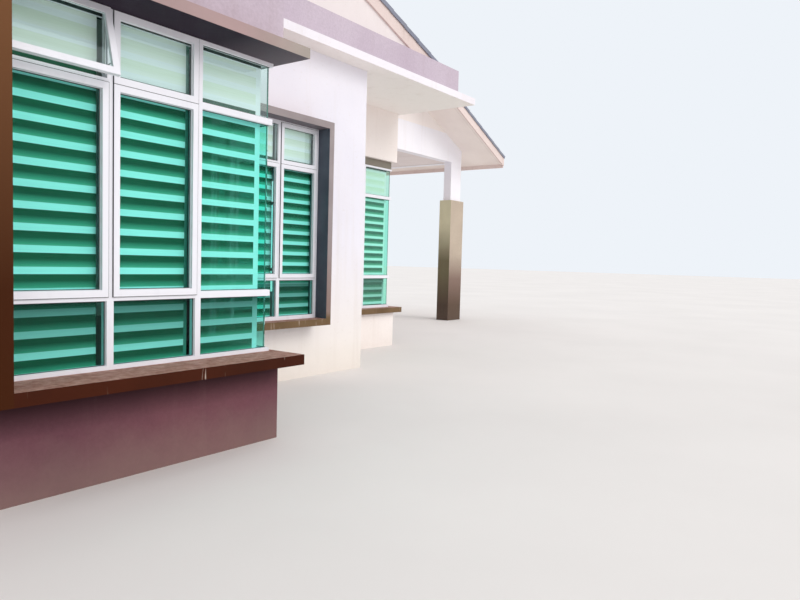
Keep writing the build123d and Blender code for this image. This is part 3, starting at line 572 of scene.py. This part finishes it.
class Window:
    """Window of the yard side: its outline from the model, its bars, and its sashes and open vents, each
    by its row from below and its column from the left."""

    def __init__(self, name, mullions, transom, sashes, vents=(), cornered=False):
        (x0, y0, z0), (x1, y1, z1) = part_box(f"{name}_panes")
        self.name = name
        self.mullions = mullions
        self.columns = lights_between(x0, x1, *mullions)
        self.rows = lights_between(z0, z1, transom, upper_transom)
        self.sashes = sashes
        self.vents = vents
        self.cornered = cornered
        self.glass = y0
        self.corner = x1
        self.return_end = y1


window_one = Window("window_one", (-2.714, -2.065), 1.109, {(1, 0), (1, 1), (2, 1)}, {(2, 0)}, cornered=True)
window_two = Window("window_two", (-0.430, 0.195), 1.157, {(1, 0), (1, 1), (1, 2), (2, 0), (2, 2)})
window_three = Window("window_three", (2.815, 3.263), 1.117, {(1, 0), (1, 1)}, cornered=True)
windows = (window_one, window_two, window_three)
corner_windows = [window for window in windows if window.cornered]


def on_side(glass):
    """Place of a ring's point on a window of the yard side."""
    return lambda a, depth, z: Vector((a, glass - depth, z))


def on_front(glass):
    """Place of a ring's point on a window that faces the street."""
    return lambda a, depth, z: Vector((glass + depth, a, z))


def on_rear(glass):
    """Place of a ring's point on a window that faces the back."""
    return lambda a, depth, z: Vector((glass - depth, a, z))


# Sections of the trim, as (inset from the light's edge, depth in front of the glass)
bead = ((0, 0.0002), (0, 0.014), (0.0015, 0.014), (0.003, 0.006), (0.003, 0.0002))
gasket = ((0.003, 0.0002), (0.003, 0.0045), (0.006, 0.0035), (0.007, 0.0002))
seal = ((0.002, 0.0225), (0.002, 0.0285), (-0.003, 0.0300), (-0.003, 0.0225))


def glaze(name, lights, place, sashes=(), gap=None):
    """Bead and gasket round every light of a window, and a seal round every sash."""
    mesh = bmesh.new()
    for light in lights:
        side = gap if light[0] == lights[0][0] and gap == "low" else None
        if gap == "high" and light[1] == lights[-1][1]:
            side = gap
        add_ring(mesh, light, bead, place, 0, side)
        add_ring(mesh, light, gasket, place, 1, side)
    for x0, x1, z0, z1 in sashes:
        edge = (x0 - sash_lap_side, x1 + sash_lap_side, z0 - sash_lap_end, z1 + sash_lap_end)
        add_ring(mesh, edge, seal, place, 1)
    piece(name, mesh, "white_aluminium", paints["white_aluminium"], gasket_rubber)


for window in windows:
    lights, closed = [], []
    for row, (z0, z1) in enumerate(window.rows):
        for column, (x0, x1) in enumerate(window.columns):
            if (row, column) in window.sashes:
                lights.append((x0 + stile, x1 - stile, z0 + sash_rail, z1 - sash_rail))
                closed.append((x0, x1, z0, z1))
            elif (row, column) not in window.vents:
                lights.append((x0, x1, z0, z1))
    gap = "high" if window.cornered else None
    glaze(f"{window.name}_beads", lights, on_side(window.glass), closed, gap)
for window in corner_windows:
    lights = [(window.glass, window.return_end, z0, z1) for z0, z1 in window.rows]
    glaze(f"{window.name}_return_beads", lights, on_front(window.corner), gap="low")


def plain_lights(y0, y1):
    """Lights of a plain window between two edges: a pair, in the rows of window two."""
    middle = (y0 + y1) / 2
    pair = ((y0 + rail, middle - half_bar), (middle + half_bar, y1 - rail))
    return [(a, b, z0, z1) for a, b in pair for z0, z1 in window_two.rows]


front_low, front_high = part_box("front_window_frame")
rear_low, rear_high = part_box("rear_window_frames")
plain_width = front_high.y - front_low.y
front_lights = plain_lights(front_low.y, front_high.y)
glaze("front_window_beads", front_lights, on_front(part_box("front_window_panes")[1].x))
rear_lights = plain_lights(rear_high.y - plain_width, rear_high.y)
rear_lights += plain_lights(rear_low.y, rear_low.y + plain_width)
glaze("rear_window_beads", rear_lights, on_rear(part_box("rear_window_panes")[0].x))

# Silicone in the joints of the glass corners
mesh = bmesh.new()
joint_bevel = 0.0008
for window in corner_windows:
    x0, x1 = window.corner - 0.009, window.corner + 0.0005
    y0, y1 = window.glass + 0.0075, window.glass + 0.0105
    for z0, z1 in window.rows:
        add_box(mesh, (x0, y0, z0), (x1, y1, z1), joint_bevel)
piece("corner_silicone", mesh, "green_glass", silicone)

# Stays of the open vent: two arms at each side, from a track in the frame to the sash
mesh = bmesh.new()
stay_sides = (-3.360, -2.724)
arm_radius = 0.004
arms = ((0.10, 0.020), (0.30, 0.073))
frame_pin, sash_pin = Vector((0, -4.100, 2.812)), Vector((0, -4.128, 2.830))
track_low, track_high = Vector((-0.003, -4.118, 2.47)), Vector((0.003, -4.104, 2.80))
for x in stay_sides:
    side = Vector((x, 0, 0))
    for drop, reach in arms:
        start = side + frame_pin - Vector((0, 0, drop))
        end = side + sash_pin - Vector((0, reach, drop))
        add_tube(mesh, (start, end), arm_radius)
    add_box(mesh, side + track_low, side + track_high)
piece("vent_stays", mesh, "white_aluminium", bare_steel)

# Zebra blinds: the materials of a cloth, in their order
close_weave, net_band, sky_reflection_band, worn_edge = range(4)


def band_edges(low, high, pitch, phase):
    """Heights of a cloth's two ends, and of the edges of its bands between them."""
    edges = [low]
    turn = (low - phase) // pitch
    while phase + turn * pitch < high:
        foot = phase + turn * pitch
        edges += [z for z in (foot, foot + close_end * pitch) if low < z < high]
        turn += 1
    return [*edges, high]


def cloth_mesh(stops, heights, y, pitch, phase, ripple, hem_paint):
    """Sheet over the stops along the window and up its heights, its faces painted band by band."""
    wave_deep = 0.0012
    mesh = bmesh.new()
    rows = []
    for z in heights:
        rows.append([mesh.verts.new((x, y + wave_deep * sin(9 * x + 1.7 * z + ripple), z)) for x in stops])
    for low_row, high_row, z0, z1 in zip(rows, rows[1:], heights, heights[1:]):
        share = ((z0 + z1) / 2 - phase) / pitch % 1
        net = sky_reflection_band if z0 > sky_reflection_above else net_band
        paint_row = [close_weave if share < close_end else net] * (len(stops) - 1)
        if hem_paint is not None:
            paint_row[-1] = hem_paint
        for i, paint in enumerate(paint_row):
            face = mesh.faces.new((low_row[i], low_row[i + 1], high_row[i + 1], high_row[i]))
            face.material_index = paint
    return mesh


def blinds(window, pitch, phase, trims):
    """Zebra blinds behind a window: cloths, cases, weight bars and bead chains."""
    name = window.name
    side_gap = 0.006
    case_high = 0.052
    case_deep = 0.046
    case_bevel = 0.006
    tuck_in_case = 0.004
    bar_high = 0.020
    half_bar_deep = 0.007
    bar_bevel = 0.003
    tuck_in_bar = 0.002
    lane = 0.05
    chain_in = 0.0125
    chain_back = 0.040
    chain_rise = 0.35
    chain_step = 0.006
    bead_radius = 0.0022
    (x_low, back, z0), (x_high, _, _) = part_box(f"{name}_blinds")
    z1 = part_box(f"{name}_frame")[1].z
    cloth_y = back + 0.008
    low, high = z0 + bar_high - tuck_in_bar, z1 - case_high + tuck_in_case
    heights = band_edges(low, high, pitch, phase)
    # Nets painted dark green: painted shade of the dark room seen through the sheer bands
    net = woven(f"{name}_net", (3, 84, 56), (2, 70, 46), 0.90, (108, 176, 150), pitch, phase)
    # Pale nets of the upper lights: a painted reflection of the sky in the glass
    sky_reflection_net = woven(f"{name}_pale_net", (236, 240, 229), (226, 230, 218), 0.97, (244, 244, 242),
                     pitch, phase)
    hard = bmesh.new()
    cloths = []
    edges = (x_low - side_gap, *(start + half_bar for start in window.mullions), x_high + side_gap)
    for count, (x0, x1, (gap, hem, hem_paint)) in enumerate(zip(edges, edges[1:], trims)):
        x0, x1 = x0 + side_gap, x1 - side_gap
        start, end = x0 + 0.002, x1 - gap
        lanes = ceil((x1 - x0) / lane)
        stops = [start + (end - hem - start) * i / lanes for i in range(lanes + 1)]
        if hem:
            stops.append(end)
        mesh = cloth_mesh(stops, heights, cloth_y, pitch, phase, count, hem_paint)
        cloth = piece(f"{name}_cloth_{count + 1}", mesh, "blind_cloth", paints["blind_cloth"], net,
                      sky_reflection_net, edge_cloth, smooth=True)
        cloths.append((cloth, round(end - start, 4), round(high - low, 4)))
        bar_low, bar_top = (x0, cloth_y - half_bar_deep, z0), (x1, cloth_y + half_bar_deep, z0 + bar_high)
        add_box(hard, bar_low, bar_top, bar_bevel)
        add_box(hard, (x0, back + 0.001, z1 - case_high), (x1, back + case_deep, z1), case_bevel, 1)
        z = z0 + chain_rise
        while z < z1 - case_high:
            place = Matrix.Translation((x0 + chain_in, back + chain_back, z))
            bmesh.ops.create_icosphere(hard, subdivisions=1, radius=bead_radius, matrix=place)
            z += chain_step
    case_piece = piece(f"{name}_cases", hard, "blind_cloth", paints["white_aluminium"], case_painted_reflection)
    node = f"{name}_blinds"
    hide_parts(node)
    for cloth, width, length in cloths:
        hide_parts(node)


# Pitch of the bands, height of one of them, and for each cloth the gap at its right, then the width and
# material of its right edge
blinds(window_one, 0.1225, 0.781, ((0.048, 0, None), (0.036, 0.026, worn_edge), (0, 0.048, close_weave)))
blinds(window_two, 0.1178, 0.728, ((0.040, 0, None), (0.040, 0, None), (0.050, 0, None)))
blinds(window_three, 0.1178, 0.694, ((0.040, 0, None), (0.040, 0, None), (0, 0.040, close_weave)))


class Slope:
    """One side of a roof: its foot, its way up to the ridge, and its way out of the roof."""

    cap_half = 0.130

    def __init__(self, node, foot_z, to_street):
        (x0, self.y0, _), (x1, self.y1, self.ridge_z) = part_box(node)
        foot_x, self.ridge_x = (x1, x0) if to_street else (x0, x1)
        self.foot = Vector((foot_x, 0, foot_z))
        self.up = Vector((self.ridge_x, 0, self.ridge_z)) - self.foot
        self.length = self.up.length
        self.covered = self.length * (1 - self.cap_half / abs(self.up.x))
        self.up.normalize()
        self.out = Vector((abs(self.up.z) if to_street else -abs(self.up.z), 0, abs(self.up.x)))

    def place(self, y, v, w):
        """Point at y, so far up the slope and so far out of it."""
        return self.foot + self.up * v + self.out * w + Vector((0, y, 0))


# Roof tiles
tile_width = 0.300
tile_gap = 0.002
tile_lap = 0.075
tile_thick = 0.012
tile_rest = 0.003
tile_bed = 0.002
ridge_gap = 0.004
nose_drop = 0.003
nose_long = 0.012
most_jog = 0.002
most_lift = 0.0015
roll_high = 0.020
roll_share = 0.45
points_across = 18
main_eaves = 4.321
porch_eaves = 4.005


def roll(u):
    """Height of the tile's two rolls over its pans, u from 0 to 1 over its width."""
    part = (2 * u) % 1
    return roll_high * max(0.0, sin(pi * min(part / roll_share, 1))) ** 1.2


def tiles(name, slope, overhang, courses):
    """Courses of lapped tiles over a slope's steps, as one joined mesh."""
    mesh = bmesh.new()
    across = max(1, round((slope.y1 - slope.y0) / tile_width))
    width = (slope.y1 - slope.y0) / across
    show = slope.covered / courses
    for course in range(courses):
        start = course * show
        end = min(start + show + tile_lap, slope.length - ridge_gap)
        if course == 0:
            start -= overhang
        nose_and_back = ((0.0, -nose_drop), (nose_long, 0.0), (end - start, 0.0))
        for number in range(across):
            y_low = slope.y0 + number * width
            jog = chance.uniform(-most_jog, most_jog)
            lift = chance.uniform(0, most_lift)
            sections = []
            for share, nose in nose_and_back:
                fall = (tile_thick + tile_rest) * (1 - share / (end - start))
                top, under = [], []
                for i in range(points_across):
                    u = i / (points_across - 1)
                    y = y_low + tile_gap / 2 + (width - tile_gap) * u
                    w = tile_bed + fall + roll(u) + lift
                    top.append(mesh.verts.new(slope.place(y, start + jog + share, w + tile_thick + nose)))
                    under.append(mesh.verts.new(slope.place(y, start + jog + share, w)))
                sections.append((top, under))
            for (top, under), (next_top, next_under) in zip(sections, sections[1:]):
                for i in range(points_across - 1):
                    mesh.faces.new((top[i], top[i + 1], next_top[i + 1], next_top[i]))
                    mesh.faces.new((under[i + 1], under[i], next_under[i], next_under[i + 1]))
                mesh.faces.new((top[0], next_top[0], next_under[0], under[0]))
                mesh.faces.new((top[-1], under[-1], next_under[-1], next_top[-1]))
            for top, under in (sections[0], sections[-1]):
                for i in range(points_across - 1):
                    mesh.faces.new((top[i], under[i], under[i + 1], top[i + 1]))
    piece(name, mesh, "roof_tile")


main_front = Slope("roof_front_slope", main_eaves, True)
main_rear = Slope("roof_rear_slope", main_eaves, False)
porch_front = Slope("porch_front_slope", porch_eaves, True)
porch_rear = Slope("porch_rear_slope", porch_eaves, False)
tiles("main_front_tiles", main_front, 0.045, 14)
tiles("main_rear_tiles", main_rear, 0.045, 14)
tiles("porch_front_tiles", porch_front, -0.001, 9)
tiles("porch_rear_tiles", porch_rear, -0.025, 9)

verge_out = 0.048


def verge(name, slope, overhang, floor_z=None):
    """Verge tiles: an angle of tile over the roof's edge and the top of its board."""
    mesh = bmesh.new()
    leg = 0.028
    thick = 0.012
    high = 0.040
    cover = 0.085
    slant = 0.010
    step = 0.335
    lap = 0.05
    lift = 0.008
    spread = 0.003
    section = (
        (-verge_out, -leg), (-verge_out, high - slant), (slant - verge_out, high), (cover - slant, high),
        (cover, high - thick), (thick - verge_out, high - thick), (thick - verge_out, -leg),
    )
    run = slope.length + overhang - lap
    count = ceil(run / step)
    show = run / count
    for number in range(count):
        start = number * show - overhang
        end = min(start + show + lap, slope.length)
        loops = []
        for v, raised in ((start, 1), (end, 0)):
            loop = []
            for y, w in section:
                point = slope.place(slope.y0 + y - spread * raised, v, w + lift * raised)
                loop.append(mesh.verts.new(point))
            loops.append(loop)
        for i in range(len(section)):
            mesh.faces.new((loops[0][i - 1], loops[0][i], loops[1][i], loops[1][i - 1]))
        for loop in loops:
            mesh.faces.new(loop)
    if floor_z:
        for vertex in mesh.verts:
            vertex.co.z = max(vertex.co.z, floor_z)
    piece(name, mesh, "roof_tile")


parapet_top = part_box("side_parapet")[1].z
verge("main_front_verge", main_front, 0.0, parapet_top + 0.002)
verge("main_rear_verge", main_rear, 0.0, parapet_top + 0.002)
verge("porch_front_verge", porch_front, 0.0)
verge("porch_rear_verge", porch_rear, -0.075)


def ridge(name, slope, node):
    """Half-round ridge tiles, lapped along the ridge, on mortar beds."""
    x, z, y0, y1 = slope.ridge_x, slope.ridge_z, slope.y0 - verge_out, slope.y1
    half_width = 0.126
    rise = 0.092
    sunk = 0.018
    thick = 0.012
    lap = 0.04
    collar = 0.05
    collar_slant = 0.005
    barrel_in = 0.006
    end_in = 0.010
    tile_long = 0.38
    arcs = 14
    most_swell = 0.004
    mesh = bmesh.new()
    count = round((y1 - y0) / tile_long)
    step = (y1 - y0) / count
    for number in range(count):
        start = y0 + number * step
        end = min(start + step + lap, y1)
        sections = []
        barrel = start + collar + collar_slant
        for y, grow in ((start, 0.0), (start + collar, 0.0), (barrel, -barrel_in), (end, -end_in)):
            outer, inner = [], []
            for i in range(arcs + 1):
                angle = pi * i / arcs
                for ring, size in ((outer, grow), (inner, grow - thick)):
                    a = (half_width + size) * cos(angle)
                    b = (rise + size) * sin(angle)
                    ring.append(mesh.verts.new((x + a, y, z - sunk + b)))
            sections.append((outer, inner))
        for (outer, inner), (next_outer, next_inner) in zip(sections, sections[1:]):
            for i in range(arcs):
                mesh.faces.new((outer[i], outer[i + 1], next_outer[i + 1], next_outer[i]))
                mesh.faces.new((inner[i + 1], inner[i], next_inner[i], next_inner[i + 1]))
            for i in (0, arcs):
                mesh.faces.new((outer[i], next_outer[i], next_inner[i], inner[i]))
        for outer, inner in (sections[0], sections[-1]):
            for i in range(arcs):
                mesh.faces.new((outer[i], inner[i], inner[i + 1], outer[i + 1]))
    made = piece(name, mesh, "roof_tile")
    bed = bmesh.new()
    lanes = 40
    for side in (-1, 1):
        rows = []
        for i in range(lanes + 1):
            y = y0 + (y1 - y0) * i / lanes
            swell = chance.uniform(-most_swell, most_swell)
            section = ((0.060, -0.030), (0.128 + swell, -0.048), (0.136 + swell, -0.020), (0.120, -0.004),
                       (0.060, 0.020))
            rows.append([bed.verts.new((x + side * a, y, z + b)) for a, b in section])
        for first, second in zip(rows, rows[1:]):
            for i in range(len(first)):
                bed.faces.new((first[i - 1], first[i], second[i], second[i - 1]))
        bed.faces.new(rows[0])
        bed.faces.new(rows[-1])
    bedding = piece(f"{name}_mortar", bed, "concrete", mortar)
    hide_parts(node)
    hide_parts(node)


ridge("roof_ridge_tiles", main_front, "roof_ridge_cap")
ridge("porch_ridge_tiles", porch_front, "porch_ridge_cap")

# Cover strips of the porch ceiling, those along it 0.4 mm lower than those across
mesh = bmesh.new()
(x0, y0, under), (x1, y1, _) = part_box("porch_ceiling")
half = 0.020
edge = 0.025
board = 1.22
boards = [x0 + half + board * i for i in range(4)]
for x in (*boards, x1 - edge):
    low = (x - half, y0 + 0.002, under - 0.005)
    add_box(mesh, low, (x + half, y1 - 0.002, under - 0.0005))
for y in (y0 + edge, 2.20, 3.50, y1 - edge):
    low = (x0 + 0.005, y - half, under - 0.0054)
    add_box(mesh, low, (x1 - 0.005, y + half, under - 0.0004))
piece("porch_ceiling_strips", mesh, "cream_plaster")

# Front door: raised panels, handle and hinges
mesh = bmesh.new()
(_, lock_y, _), (leaf, hinge_y, _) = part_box("front_door_leaf")
panel_edge = 0.10
panel_width = 0.28
panel_out = 0.012
panel = ((0, 0), (0.004, 0.010), (0.022, 0.010), (0.034, 0.003), (0.052, 0.003), (0.075, panel_out))
inset = 0.0745
for y0 in (lock_y + panel_edge, hinge_y - panel_edge - panel_width):
    y1 = y0 + panel_width
    for z0, z1 in ((0.30, 0.95), (1.07, 2.08)):
        add_ring(mesh, (y0, y1, z0, z1), panel, on_front(leaf))
        add_box(mesh, (leaf, y0 + inset, z0 + inset), (leaf + panel_out, y1 - inset, z1 - inset))
piece("front_door_panels", mesh, "door_wood")
mesh = bmesh.new()
y = lock_y + 0.061
plate_half = 0.021
plate_low, plate_high = 1.00, 1.24
lever_z = 1.16
lever_out = 0.045
lever_long = 0.109
lock_z = 1.06
hinge_high = 0.10
add_box(mesh, (leaf, y - plate_half, plate_low), (leaf + 0.006, y + plate_half, plate_high), 0.003)
knee = Vector((leaf + lever_out, y, lever_z))
add_tube(mesh, ((leaf, y, lever_z), knee, knee + Vector((0, lever_long, 0))), radius=0.009, sides=14)
add_tube(mesh, ((leaf + 0.004, y, lock_z), (leaf + 0.012, y, lock_z)), radius=0.010, sides=16)
for z in (0.35, 1.20, 2.00):
    pin = Vector((leaf + 0.004, hinge_y + 0.002, z))
    add_tube(mesh, (pin, pin + Vector((0, 0, hinge_high))), radius=0.007, sides=12)
piece("front_door_handle", mesh, "white_aluminium", bare_steel)

# Ground
ground_half = 150
mesh = bmesh.new()
bmesh.ops.create_grid(mesh, x_segments=1, y_segments=1, size=ground_half)
data = bpy.data.meshes.new("ground")
mesh.to_mesh(data)
mesh.free()
ground = bpy.data.objects.new("ground", data)
bpy.context.collection.objects.link(ground)
floor_paint = Paint("ground")
clouds = floor_paint.between(floor_paint.noise(0.35, 4), 0.3, 0.7)
floor_colour = floor_paint.mix(clouds, shade(232, 227, 224), shade(226, 221, 218))
data.materials.append(floor_paint.finish(floor_colour, 0.9))

# Sky: even light, and a pale backdrop for the camera, in glass and in gloss
world = bpy.data.worlds.new("sky")
bpy.context.scene.world = world
world.use_nodes = True
tree = world.node_tree
light = tree.nodes["Background"]
light.inputs["Color"].default_value = (0.96, 0.98, 1.0, 1)
light.inputs["Strength"].default_value = 1.0
shown = add_node(tree, "ShaderNodeBackground", {"Color": shade(238, 243, 249)})
path = add_node(tree, "ShaderNodeLightPath").outputs
share = path["Is Camera Ray"]
for ray in ("Is Glossy Ray", "Is Transmission Ray"):
    share = add_node(tree, "ShaderNodeMath", {0: share, 1: path[ray]}, operation="MAXIMUM").outputs[0]
choice = add_node(tree, "ShaderNodeMixShader", {0: share, 1: light.outputs[0], 2: shown.outputs[0]})
tree.links.new(choice.outputs[0], tree.nodes["World Output"].inputs["Surface"])

# Soft key light from above the yard
sun_data = bpy.data.lights.new("key", "SUN")
sun_data.energy = 1.0
sun_data.angle = radians(35)
sun_data.color = (1.0, 0.97, 0.93)
sun = bpy.data.objects.new("key", sun_data)
sun_from = Vector((0.15, -0.90, 0.55))
sun.rotation_euler = sun_from.to_track_quat("Z", "Y").to_euler()
bpy.context.collection.objects.link(sun)
